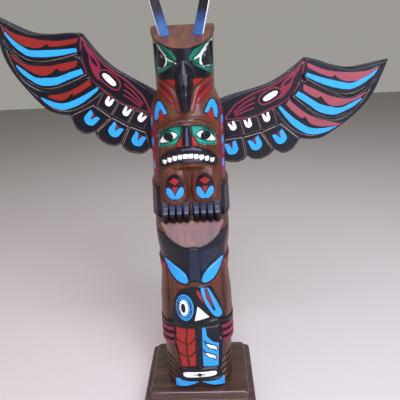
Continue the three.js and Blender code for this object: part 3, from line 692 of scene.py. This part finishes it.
def painted_cedar(name, grain_turn=0.0, varnish=0.26, gloss=(0.3, 0.46)):
    """The stained wood, the paints where their fields say, the rubbed edges and the varnish."""
    finish, tree = new_finish(name)
    place = node(tree, "TexCoord", {}, out="Object")
    turned = node(tree, "Mapping", {"Vector": place, "Rotation": (0, grain_turn, 0)})

    # Grain lines are 1.1 mm wide and 45 mm long, coarser than cedar's own so that they show,
    # over bands of darker wood 9 mm wide. The colour is darker towards the foot.
    grain_at = node(tree, "Mapping", {"Vector": turned, "Scale": per(1.11, 1.11, 45.5)})
    grain = node(tree, "TexNoise", {"Vector": grain_at, "Scale": 1.0, "Detail": 5.0, "Roughness": 0.62})
    broad_at = node(tree, "Mapping", {"Vector": turned, "Scale": per(9.1, 33.0, 125.0)})
    broad = node(tree, "TexNoise", {"Vector": broad_at, "Scale": 1.0, "Detail": 3.0, "Distortion": 0.6})
    shade = node(tree, "Math", {0: grain, 1: 0.6}, operation="MULTIPLY")
    shade = node(tree, "Math", {0: broad, 1: 0.7, 2: shade}, operation="MULTIPLY_ADD")
    shade = node(tree, "MapRange", {"Value": shade, "From Min": 0.45, "From Max": 0.8})
    colour = node(tree, "Mix", {0: shade, 6: linear(stain_dark), 7: linear(stain_light)},
                  out=2, data_type="RGBA")
    height = node(tree, "SeparateXYZ", {0: place}, out=2)
    low_down = node(tree, "MapRange", {
        "Value": height, "From Min": 120 * MM, "From Max": 50 * MM, "To Max": 0.55})
    colour = node(tree, "Mix", {0: low_down, 6: colour, 7: linear(stain_dark)}, out=2, data_type="RGBA")

    # Each paint fills its outline, and its edge wavers as a hand does. Black is laid a quarter
    # of a millimetre wider than the rest, and denim and the navy painted highlight fade out at their edges.
    # Brush strokes 4 mm long lie across the grain.
    edge_noise = node(tree, "TexNoise", {"Vector": turned, "Scale": per(2.86)[0], "Detail": 3.0})
    waver = node(tree, "Math", {0: edge_noise, 1: 2 * paint_waver, 2: -paint_waver},
                 operation="MULTIPLY_ADD")
    brush_at = node(tree, "Mapping", {"Vector": turned, "Scale": per(4.0, 4.0, 0.77)})
    brush = node(tree, "TexNoise", {"Vector": brush_at, "Scale": 1.0, "Detail": 4.0, "Distortion": 1.2})
    tone = node(tree, "MapRange", {"Value": brush, "From Min": 0.36, "From Max": 0.6})
    for paint, code in paint_colours.items():
        field = node(tree, "Attribute", {}, out="Fac", attribute_name="paint_" + paint)
        field = node(tree, "Math", {0: field, 1: waver}, operation="ADD")
        edge = -0.25 if paint == "black" else -0.02
        soft = {"denim": 0.6, "navy": 2.4}.get(paint, 0.14)
        mask = node(tree, "MapRange", {"Value": field, "From Min": edge - soft, "From Max": edge + soft},
                    interpolation_type="SMOOTHSTEP")
        brushed_thin = [c * 0.8 for c in linear(code)[:3]] + [1.0]
        painted = node(tree, "Mix", {0: tone, 6: brushed_thin, 7: linear(code)}, out=2, data_type="RGBA")
        colour = node(tree, "Mix", {0: mask, 6: colour, 7: painted}, out=2, data_type="RGBA")

    # Proud edges are rubbed to the wood in patches of 2 mm, and the cuts and hollows are darkened as
    # painted shade.
    stands = node(tree, "Attribute", {}, out="Fac", attribute_name="stands_out")
    rub_noise = node(tree, "TexNoise", {
        "Vector": turned, "Scale": per(2.0)[0], "Detail": 4.0, "Roughness": 0.7})
    rub = node(tree, "Math", {0: stands, 1: rub_noise}, operation="MULTIPLY")
    rub = node(tree, "MapRange", {"Value": rub, "From Min": 0.42, "From Max": 0.9, "To Max": 0.35})
    colour = node(tree, "Mix", {0: rub, 6: colour, 7: linear(rubbed_wood)}, out=2, data_type="RGBA")
    painted_cut_shade = node(tree, "MapRange", {"Value": stands, "From Min": -0.1, "From Max": -0.6, "To Max": 0.8})
    colour = node(tree, "Mix", {0: painted_cut_shade, 6: colour, 7: linear(painted_shade_in_cuts)}, out=2, data_type="RGBA")

    rough = node(tree, "MapRange", {
        "Value": brush, "From Min": 0.3, "From Max": 0.7, "To Min": gloss[0], "To Max": gloss[1]})
    pores = node(tree, "Math", {0: grain, 1: 0.6}, operation="MULTIPLY")
    surface = node(tree, "Math", {0: brush, 1: 0.5, 2: pores}, operation="MULTIPLY_ADD")
    bump = node(tree, "Bump", {"Strength": 0.5, "Distance": 0.4 * MM, "Height": surface})
    shader = node(tree, "BsdfPrincipled", {
        "Base Color": colour, "Roughness": rough, "Normal": bump, "IOR": 1.5, "Specular IOR Level": 0.22,
        "Coat Weight": varnish, "Coat Roughness": 0.16, "Coat IOR": 1.48})
    node(tree, "OutputMaterial", {0: shader})
    return finish


pole = make_piece("carved_log", np.stack([all_x, all_y, all_z], 1), pole_faces, pole_fields,
                  painted_cedar("brush_paint_on_cedar"))
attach(pole, "root")
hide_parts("pole")


# The wings: each a cedar board, sawn to the outline, carved in steps from the arm down to
# the feather tips, and butted on the log's flank. Both are cut from one pattern.
wing_front = 4.0
wing_back = 16.0
board_face = 3.6
grid_step = 0.85
edge_step = 1.2
butt_gap = 0.3
root_y = wing_front + 6.0
shoulder_height = {"left": 440.5, "right": 429.0}
shoulder_reach = {"left": 0.2, "right": 6.2}
wing_rise = {"left": 40.5, "right": 23.4}

board_edge = np.vstack([
    curve([(-24, -2), (0, 0), (36, -6), (58, -8.5), (80, -6.4), (106, 0)]),
    curve([(108, -1), (120, -10.5), (132, -21.5), (154, -35), (196, -45.5)]),
    curve([(186, -57), (165, -77.5), (139, -90.5), (98, -100), (80, -97), (66, -89)]),
    curve([(59, -94), (50, -98.5), (38, -97), (31, -88)]),
    curve([(22, -92), (10, -92), (0, -87), (-4, -80)]),
    curve([(-10, -83), (-20, -82), (-33, -74), (-37, -62)]),
    [(-62, -52), (-70, -20)],
])

# Each row of long feathers: its carved step, the red field and the blue band.
feather_rows = [
    {"step": [(182, -48), (172, -56), (165, -62), (156, -64), (146, -64), (134, -61), (122, -52),
              (110, -39), (97, -22)],
     "red": [(178, -48), (168, -48), (157, -44), (146, -39), (134, -32), (120, -22), (105, -6), (104, -12),
             (117, -27), (127, -35), (130, -34), (134, -42), (143, -49), (154, -53), (165, -52.5),
             (177, -50)],
     "blue": [(175, -52), (164, -54), (152, -54), (142, -52), (128, -41), (115, -30), (101, -17), (98, -20),
              (110, -34), (120, -44), (131, -53), (141, -59), (153, -60), (165, -58), (174, -54)]},
    {"step": [(165, -68), (152, -78), (137, -84), (124, -84), (111, -82), (101, -75), (92, -64),
              (83, -49), (76, -35)],
     "red": [(161, -70), (152, -70), (141, -70), (129, -64), (116, -54), (107, -44), (93, -28), (90, -34),
             (97, -45), (103, -51), (107, -50), (110, -60), (116, -68), (126, -72), (136, -73), (150, -73)],
     "blue": [(147, -76), (134, -76), (122, -75), (112, -68), (101, -58), (92, -44), (84, -33),
              (79, -36), (90, -54), (97, -66), (106, -75), (115, -80), (125, -81), (136, -81), (146, -78)]},
    {"step": [(123, -92), (112, -93), (98, -93), (84, -93), (70, -85), (61, -73), (54, -56), (49, -38)],
     "red": [(99, -84), (89, -74), (80, -61), (73, -45), (70, -37),
             (65, -41), (70, -55), (75, -65), (78, -64), (80, -75), (87, -82), (98, -86)],
     "blue": [(106, -91.5), (96, -88.8), (88, -86), (80, -81), (73, -72), (65, -57), (57, -38),
              (55, -41), (58, -54), (63, -69), (70, -81), (77, -88.5), (88, -93), (98, -93.6)]},
]
arm_panel = smooth([
    (104, -3), (98, -12), (90, -22), (78, -31), (59, -38), (36, -38), (10, -34), (-14, -26),
    (-60, -22), (-60, -6), (-10, -3), (20, -4.5), (50, -7.5), (80, -6)])
pad_shapes = [
    [(48, -39), (46, -58), (26, -57), (28, -38)],
    [(26.5, -38), (24.5, -56), (4.5, -53), (7, -34)],
    [(5.5, -33.5), (3, -52), (-16, -46), (-12, -28)],
]
covert_shapes = [
    [(50, -61), (64, -88), (57, -94), (48, -97), (38, -95.5), (30, -87), (25, -60)],
    [(23, -59.5), (28, -86), (20, -90.5), (10, -90.5), (1, -86), (-4, -78), (1, -56)],
    [(-1, -55), (-7, -80), (-19, -80.5), (-32, -73), (-36, -60), (-20, -49)],
]
long_feathers = [
    [(105, -2), (121, -12), (134, -24), (155, -38), (193, -46),
     (182, -50), (172, -57), (156, -65), (134, -62), (97, -24)],
    [(97, -25), (134, -64), (156, -67), (174, -62), (165, -71),
     (152, -80), (124, -85), (101, -76), (83, -50), (74, -36)],
    [(74, -38), (101, -79), (124, -88), (148, -83), (128, -91),
     (98, -96), (84, -94), (68, -85), (50, -40)],
]
leaf_line = smooth([(102, -4), (98, -12), (92, -20), (82, -29), (70, -35), (59, -37), (44, -37), (28, -37),
                    (12, -33), (-9, -25), (-2, -19), (8, -14), (21, -12), (36, -11), (50, -12), (64, -12),
                    (77, -10), (90, -8)])


def flank_at(y, z):
    """Half-width of the log at a place on its flank."""
    half, start, front, square = section_at(z)
    share = np.clip((start - y) / (start + front), 0, 1)
    return half * (1 - share ** square) ** (1 / square)


# The wings' reds are one red, lightened on the right wing as a painted highlight and darkened on the left
# as painted shade.
# The right wing's painted feathers end further out than the left's: how far each red and each blue tip is
# moved.
wing_red = {"left": "brick", "right": "rose"}
still = (0, 0)
tip_moves = {"left": [(still, still)] * 3,
             "right": [((2.5, 1), (5, 2.5)), (still, (5, 1.8)), ((20, -10), (9, -3.3))]}


def feather(points, tip_move):
    """A feather's field with sharp ends and with its tip moved."""
    points = np.array(points, float)
    order = np.argsort(points[:, 0])
    low, high = points[order[0], 0], points[order[-1], 0]
    share = ((points[:, :1] - low) / (high - low)) ** 2
    sharp = np.ones(len(points), int)
    sharp[[order[0], order[1], order[-1], order[-2]]] = 2
    return smooth(np.repeat(points + share * tip_move, sharp, 0), steps=3)


def u_mark(x, z, wide, tall, turn):
    """A feather's U: two prongs up and a round foot."""
    arc = np.linspace(0, math.pi, 9)
    shape = [(-0.5, 0.5), (-0.2, 0.42), (0, -0.12), (0.2, 0.42), (0.5, 0.5)]
    shape += [(0.5 * math.cos(t), -0.12 - 0.38 * math.sin(t)) for t in arc]
    cos, sin = cos_sin(turn)
    return [(x + wide * a * cos - tall * b * sin, z + wide * a * sin + tall * b * cos) for a, b in shape]


def to_body(side, x, z):
    """From the wing's own sheet to the object: turned about the shoulder, then set on the flank."""
    cos, sin = cos_sin(wing_rise[side])
    shoulder = shoulder_height[side]
    reach = section_at(shoulder)[0] + shoulder_reach[side]
    return reach + x * cos - z * sin, shoulder + x * sin + z * cos


def wing_loop(side):
    """The board's outline with its root cut to the log's flank, the root alone, and which
    places of the outline are on the root."""
    edge = []
    for a, b in zip(board_edge, np.roll(board_edge, -1, 0)):
        pieces = max(1, int(round(np.linalg.norm(b - a) / edge_step)))
        edge += [a + (b - a) * k / pieces for k in range(pieces)]
    edge = np.array(edge)
    out, up = to_body(side, edge[:, 0], edge[:, 1])
    outside = out > flank_at(root_y, up) + butt_gap
    first = next(i for i in range(len(edge)) if outside[i] and not outside[i - 1])
    kept = [i % len(edge) for i in range(first, first + len(edge)) if outside[i % len(edge)]]
    top_z, foot_z = up[kept[0]], up[kept[-1]]
    root_z = np.linspace(foot_z, top_z, int(abs(top_z - foot_z) / edge_step) + 2)[1:-1]
    root_out = flank_at(root_y, root_z) + butt_gap
    origin_out, origin_z = to_body(side, 0.0, 0.0)
    du, dz = root_out - origin_out, root_z - origin_z
    cos, sin = cos_sin(wing_rise[side])
    root = np.stack([du * cos + dz * sin, -du * sin + dz * cos], 1)
    loop = np.vstack([edge[kept], root])
    return loop, root, np.arange(len(loop)) >= len(kept)


def carve_and_paint(sheet, side):
    """A wing's stepped feathers, its arm panel with the leaf and the eye, and its pads."""
    sheet.coat("black", board_edge)
    for row in feather_rows:
        sheet.cut(curve(row["step"]), wide=2.2, deep=0.7)
    for shape, level in zip(long_feathers, (3.5, 2.4, 1.3)):
        sheet.lay(smooth(shape), level, soft=1.0)
    sheet.lay(arm_panel, board_face, soft=1.0)
    for shape in pad_shapes:
        sheet.lay(shape, 2.2, soft=1.4)
    for shape in covert_shapes:
        sheet.lay(shape, 1.0, soft=1.4)
    for row in feather_rows:
        sheet.coat("scraped", curve(row["step"]), wide=0.9)
    for row, (red_move, blue_move) in zip(feather_rows, tip_moves[side]):
        sheet.coat(wing_red[side], feather(row["red"], red_move))
        sheet.coat("blue", feather(row["blue"], blue_move))

    sheet.coat("wine", looped(leaf_line), wide=1.8)
    sheet.coat("wine", smooth([(97, -8), (86, -14.5), (78, -23), (68, -29), (61, -31), (64, -24),
                               (69, -15.5), (84, -10.4)]))
    sheet.coat("black", smooth([(94, -9.6), (85, -13.4), (74, -15.4), (70.5, -19), (77, -19), (85, -14)]))
    sheet.coat("black", smooth([(94, -12), (86, -19), (79, -26), (71, -31), (64, -32.6), (70, -33),
                                (82, -28), (90, -19.4)]))
    sheet.coat("wine", smooth([(66, -21.5), (60, -15), (50, -14.5), (40, -16), (35, -22), (38, -29),
                               (50, -30.5), (62, -29)]))
    sheet.coat("black", smooth([(64.6, -21.7), (59, -16.4), (50, -16), (41, -17.4), (36.6, -22.2),
                                (39.4, -27.8), (50, -29), (61, -27.4)]))
    sheet.coat("white", smooth([(60.4, -21), (56, -19.2), (48, -19.8), (42, -21.4), (41.4, -24.4),
                                (45, -26.4), (54, -25.8), (59.4, -24)]))
    for k in range(3):
        start = 33 - 3 * k
        finger = curve([(start, -16 - 5.5 * k), (18, -17 - 4.6 * k), (3, -21 - 2.5 * k)])
        sheet.coat("wine", finger, wide=1.7)
    sheet.cut(looped(leaf_line), wide=1.8, deep=0.6)

    for (x, z), turn in zip([(36.8, -44.7), (13.2, -41.5), (-5.8, -36.2)], (-4, -3, 4)):
        sheet.coat("white", u_mark(x, z, 8.6, 11.5, turn))
    for (x, z), turn in zip([(43.0, -76.2), (11.4, -70), (-18.2, -61.8)], (8, 3, -6)):
        sheet.coat("blue", u_mark(x, z, 15.2, 17.0, turn))
        sheet.coat("red", [(x - 1.6, z + 7), (x + 1.6, z + 7), (x, z + 0.6)])
    for shape in pad_shapes + covert_shapes:
        sheet.coat("scraped", looped(shape), wide=0.8)


def carve_wing(side):
    """One wing's places, faces and fields: the front filled with places, and the flat back."""
    loop, root, on_root = wing_loop(side)
    gx, gz = np.meshgrid(np.arange(loop[:, 0].min(), loop[:, 0].max(), grid_step),
                         np.arange(loop[:, 1].min(), loop[:, 1].max(), grid_step))
    gx = gx + (np.arange(gx.shape[0]) % 2)[:, None] * grid_step / 2
    away, inside = to_line(loop, gx.ravel(), gz.ravel(), True)
    fill = np.stack([gx.ravel(), gz.ravel()], 1)[inside & (away > 0.45 * grid_step)]
    points = np.vstack([loop, fill])
    count = len(loop)
    ring = [(k, (k + 1) % count) for k in range(count)]
    made, _, faces, origin, _, _ = delaunay_2d_cdt([Vector(p) for p in points], ring, [], 1, 1e-5)
    flat = np.array([tuple(p) for p in made])
    source = np.array([o[0] if o else -1 for o in origin])
    is_loop = (source >= 0) & (source < count)

    sheet = Sheet(flat[:, 0], flat[:, 1], np.zeros(len(flat)), np.ones(len(flat), bool))
    carve_and_paint(sheet, side)
    edge_away = to_line(loop, flat[:, 0], flat[:, 1], True)[0]
    rounding = 1.4 * np.clip(1 - edge_away / 1.6, 0, 1) ** 2
    near_root = to_line(root, flat[:, 0], flat[:, 1], False)[0] < 1.6
    rounding[near_root] = 0
    front_y = wing_front + board_face - sheet.height + rounding
    stands = np.where(edge_away < 1.0, 0.5, 0.0)

    place_out, place_z = to_body(side, flat[:, 0], flat[:, 1])
    rooted = np.isin(source, np.nonzero(on_root)[0]) | (is_loop & near_root)
    sign = -1.0 if side == "left" else 1.0

    def placed(y):
        """The wing's places in the object, at a depth."""
        x = np.where(rooted, flank_at(y, place_z) + butt_gap, place_out)
        return np.stack([sign * x, y, place_z], 1)

    rim = np.nonzero(is_loop)[0]
    rim = rim[np.argsort(source[rim])]
    total, around = len(flat), len(rim)
    rim_ring = [(k, (k + 1) % around) for k in range(around)]
    back_faces = delaunay_2d_cdt([Vector(flat[i]) for i in rim], rim_ring, [], 1, 1e-5)[2]
    all_faces = [list(f) for f in faces]
    all_faces += [[total + i for i in f][::-1] for f in back_faces]
    all_faces += [[total + k, total + k_next, rim[k_next], rim[k]] for k, k_next in rim_ring]
    if side == "left":
        all_faces = [f[::-1] for f in all_faces]
    behind = {name: np.full(around, 3.0 if name == "black" else -margin) for name in paint_colours}
    fields = {"paint_" + key: np.concatenate([values, behind[key]]) for key, values in sheet.coats.items()}
    fields["stands_out"] = np.concatenate([stands, np.zeros(around)])
    back = placed(np.full(total, wing_back))[rim]
    return np.vstack([placed(front_y), back]), all_faces, fields


for side in ("left", "right"):
    lean = math.radians(wing_rise[side]) * (1 if side == "left" else -1)
    finish = painted_cedar("brush_paint_on_wing_" + side, grain_turn=math.pi / 2 + lean)
    wing = make_piece("carved_wing_" + side, *carve_wing(side), finish)
    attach(wing, "root")
    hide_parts("wing_" + side)


# The ear-horns: two sawn slats of cedar standing on the crown, leaning outwards and turned to
# face each other a little. They are painted black above and blue below, with white outer
# edges, and their matt paint has no varnish to speak of.
horn_width, horn_thickness, horn_rise = 12.2, 5.0, 56.0
horn_spread = {"left": 20.6, "right": 18.6}
horn_setback, horn_lean, horn_turn = 1.0, 14.0, 25.0
# The blue gives way to black round this height, over some 24 mm.
horn_blue_to = 17.0
fade = 0.05
horn_rows, horn_round = 64, 28

# The slat's outer and inner edges, as shares of its half-width at shares of its height.
outer_at, outer_edge = [-0.5, 0, 0.6, 0.86, 0.95, 1.0], [1, 1, 0.94, 0.75, 0.5, 0.0]
inner_at, inner_edge = [-0.5, 0, 0.88, 0.95, 0.985, 1.0], [-1, -1, -0.92, -0.72, -0.5, 0.0]
tip_from = 0.86
tip_heights = tip_from + (1 - tip_from) * np.sin(np.linspace(0, math.pi / 2, 14)[1:])
heights = np.concatenate([np.linspace(-0.2, tip_from, horn_rows), tip_heights])
turn = np.linspace(0, 2 * math.pi, horn_round, endpoint=False)
square = 5.0
round_x = np.sign(np.cos(turn)) * np.abs(np.cos(turn)) ** (2 / square)
round_y = np.sign(np.sin(turn)) * np.abs(np.sin(turn)) ** (2 / square)
for side in ("left", "right"):
    low = np.interp(heights, inner_at, inner_edge)[:, None]
    high = np.interp(heights, outer_at, outer_edge)[:, None]
    hx = ((low + high) / 2 + (high - low) / 2 * round_x) * horn_width / 2
    thin = np.clip((1.002 - heights) / 0.06, 0, 1)[:, None] ** 0.5
    hy = round_y * horn_thickness / 2 * thin
    hz = np.repeat(heights[:, None] * horn_rise, horn_round, 1)
    up_the_slat = hz.copy()
    cos, sin = cos_sin(horn_turn)
    hx, hy = hx * cos + hy * sin, hy * cos - hx * sin
    cos, sin = cos_sin(horn_lean)
    hx, hz = hx * cos + hz * sin, hz * cos - hx * sin
    seat = crown_at(horn_setback)
    hx, hy, hz = hx + horn_spread[side], hy + horn_setback, hz + seat
    hz = np.maximum(hz, crown_at(hy) + butt_gap)
    sign = -1 if side == "left" else 1
    points = np.stack([sign * hx.ravel(), hy.ravel(), hz.ravel()], 1)
    faces = ring_faces(len(heights), horn_round)
    count = len(heights) * horn_round
    faces.append(list(range(horn_round))[::-1])
    faces.append(list(range(count - horn_round, count)))
    if side == "left":
        faces = [f[::-1] for f in faces]
    edge_on = (np.abs(round_x) > 0.985) & (round_x > 0)
    face_depth = np.where(edge_on, -3.0, 3.0) * np.ones_like(up_the_slat)
    fields = {"paint_" + key: np.full(count, -margin) for key in paint_colours}
    fields["paint_black"] = face_depth.ravel()
    fields["paint_denim"] = np.minimum((horn_blue_to - up_the_slat) * fade, face_depth).ravel()
    fields["paint_white"] = -face_depth.ravel()
    fields["stands_out"] = np.zeros(count)
    horn = make_piece("ear_horn_" + side, points, faces, fields,
                      painted_cedar("brush_paint_on_slat_" + side, varnish=0.05, gloss=(0.5, 0.7)))
    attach(horn, "root")
    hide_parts("horn_" + side)


# The plinth: one block of cedar, moulded with a step and a rounded upper edge, under a
# dark brown stain and the same satin varnish.
step_width, step_depth = 161.0, 126.0
plinth_turn = -2.2
plinth_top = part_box("plinth")[1].z / MM
step_top, step_ledge, step_round, edge_round, corner = 12.0, 9.0, 1.5, 3.5, 3.0
corner_steps, side_steps = 8, 40
top_rings, top_pitch = 8, 5.0


def rounded_rectangle(inset, radius):
    """Places round a rectangle with round corners, all sides cut into equal steps."""
    w, d = step_width / 2 - inset, step_depth / 2 - inset
    radius = max(radius, 0.4)
    places = []
    for cx, cy, start in ((1, -1, -90), (1, 1, 0), (-1, 1, 90), (-1, -1, 180)):
        t = np.radians(start + 90 * np.arange(corner_steps + 1) / corner_steps)
        places.append(np.stack([cx * (w - radius) + radius * np.cos(t),
                                cy * (d - radius) + radius * np.sin(t)], 1))
    places = np.vstack(places)
    full = []
    for k, a in enumerate(places):
        b = places[(k + 1) % len(places)]
        pieces = side_steps if (k + 1) % (corner_steps + 1) == 0 else 1
        full += [a + (b - a) * j / pieces for j in range(pieces)]
    return full


def quarter(inset, z, radius, start, stop, steps=6):
    """A moulded edge: a quarter round from one angle to another."""
    angles = np.radians(np.linspace(start, stop, steps))
    return [(inset + radius - radius * math.cos(t), z + radius * math.sin(t)) for t in angles]


profile = quarter(0, step_round, step_round, -90, 0)
profile += quarter(0, step_top - step_round, step_round, 0, 90)
profile += [(step_ledge * 0.5, step_top), (step_ledge - 0.4, step_top), (step_ledge, step_top + 0.4)]
profile += quarter(step_ledge, plinth_top - edge_round, edge_round, 0, 90, steps=8)
profile += [(step_ledge + edge_round + top_pitch * (k + 1), plinth_top) for k in range(top_rings)]
rings = []
for inset, z in profile:
    radius = corner + edge_round - min(inset, step_ledge) * 0.1
    rings.append([(x, y, z) for x, y in rounded_rectangle(inset, radius if inset < 20 else 1.0)])
plinth_points = np.array([p for ring in rings for p in ring] + [(0, 0, plinth_top), (0, 0, 0)])
cos, sin = cos_sin(plinth_turn)
plinth_points = plinth_points @ np.array([(cos, sin, 0), (-sin, cos, 0), (0, 0, 1)])
plinth_faces = closed_faces(len(rings), len(rings[0]))


plinth_dark, plinth_light = "#2a1b15", "#5a4032"


def dark_stained_cedar(name):
    """Straight-grained cedar under a dark brown stain that dulls the grain, then a satin varnish."""
    finish, tree = new_finish(name)
    place = node(tree, "TexCoord", {}, out="Object")
    # The grain runs across the plinth, in lines 1.1 mm wide so that they show.
    grain_at = node(tree, "Mapping", {"Vector": place, "Scale": per(45.5, 1.11, 1.11)})
    grain = node(tree, "TexNoise", {"Vector": grain_at, "Scale": 1.0, "Detail": 6.0, "Roughness": 0.6})
    broad_at = node(tree, "Mapping", {"Vector": place, "Scale": per(125.0, 11.1, 11.1)})
    broad = node(tree, "TexNoise", {"Vector": broad_at, "Scale": 1.0, "Detail": 3.0, "Distortion": 0.7})
    shade = node(tree, "Math", {0: grain, 1: 0.5}, operation="MULTIPLY")
    shade = node(tree, "Math", {0: broad, 1: 0.7, 2: shade}, operation="MULTIPLY_ADD")
    shade = node(tree, "MapRange", {"Value": shade, "From Min": 0.4, "From Max": 0.82})
    colour = node(tree, "Mix", {0: shade, 6: linear(plinth_dark), 7: linear(plinth_light)},
                  out=2, data_type="RGBA")
    rough = node(tree, "MapRange", {
        "Value": grain, "From Min": 0.3, "From Max": 0.7, "To Min": 0.26, "To Max": 0.42})
    bump = node(tree, "Bump", {"Strength": 0.35, "Distance": 0.3 * MM, "Height": grain})
    shader = node(tree, "BsdfPrincipled", {
        "Base Color": colour, "Roughness": rough, "Normal": bump, "IOR": 1.5, "Coat Weight": 0.5,
        "Coat Roughness": 0.14, "Coat IOR": 1.48})
    node(tree, "OutputMaterial", {0: shader})
    return finish


plinth = make_piece("moulded_plinth", plinth_points, plinth_faces, {},
                    dark_stained_cedar("dark_stained_cedar"))
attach(plinth, "root")
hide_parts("plinth")


# The floor and the light: a pale plain table, a broad soft light from the right and front and
# one from above, and weaker ones from low in front, from the left and from behind.
floor_size, mottle_size = 8000.0, 2667.0
half = floor_size * MM / 2
floor_mesh = bpy.data.meshes.new("floor")
floor_mesh.from_pydata([(-half, -half, 0), (half, -half, 0), (half, half, 0), (-half, half, 0)], [],
                       [(0, 1, 2, 3)])
floor = bpy.data.objects.new("floor", floor_mesh)
bpy.context.scene.collection.objects.link(floor)
paper, paper_tree = new_finish("pale_paper")
mottle = node(paper_tree, "TexNoise", {"Scale": floor_size / mottle_size, "Detail": 2.0})
tint = node(paper_tree, "Mix", {0: mottle, 6: linear("#c4c0ba"), 7: linear("#cecac4")},
            out=2, data_type="RGBA")
matt = node(paper_tree, "BsdfPrincipled", {"Base Color": tint, "Roughness": 0.8})
node(paper_tree, "OutputMaterial", {0: matt})
floor_mesh.materials.append(paper)

for name, place, size, power, warmth in (
    ("window", (0.95, -1.15, 0.95), 0.9, 22.0, "#e2ecff"),
    ("doorway", (0.6, -1.3, 0.4), 0.9, 2.6, "#dfe6ff"),
    ("room", (-1.2, -0.9, 0.9), 1.2, 8.0, "#fff1e2"),
    ("skylight", (0.1, -0.8, 1.42), 0.8, 24.0, "#ece2ff"),
    ("ceiling", (0.0, 0.4, 1.8), 1.2, 6.0, "#fff8f0"),
):
    lamp = bpy.data.lights.new(name, "AREA")
    lamp.shape = "SQUARE"
    lamp.size = size
    lamp.energy = power
    lamp.color = linear(warmth)[:3]
    light = bpy.data.objects.new(name, lamp)
    light.location = place
    light.rotation_euler = (Vector((0, 0, 0.28)) - Vector(place)).to_track_quat("-Z", "Y").to_euler()
    bpy.context.scene.collection.objects.link(light)

world = bpy.data.worlds.new("room_light")
world.use_nodes = True
world.node_tree.nodes["Background"].inputs[0].default_value = linear("#e8e4de")
sky = node(world.node_tree, "TexCoord", {}, out="Generated")
sky_y = node(world.node_tree, "SeparateXYZ", {0: sky}, out=1)
glow = node(world.node_tree, "MapRange", {
    "Value": sky_y, "From Min": -0.6, "From Max": 0.8, "To Min": 0.12, "To Max": 0.42})
world.node_tree.links.new(glow, world.node_tree.nodes["Background"].inputs[1])
bpy.context.scene.world = world
bpy.context.scene.view_settings.view_transform = "Standard"
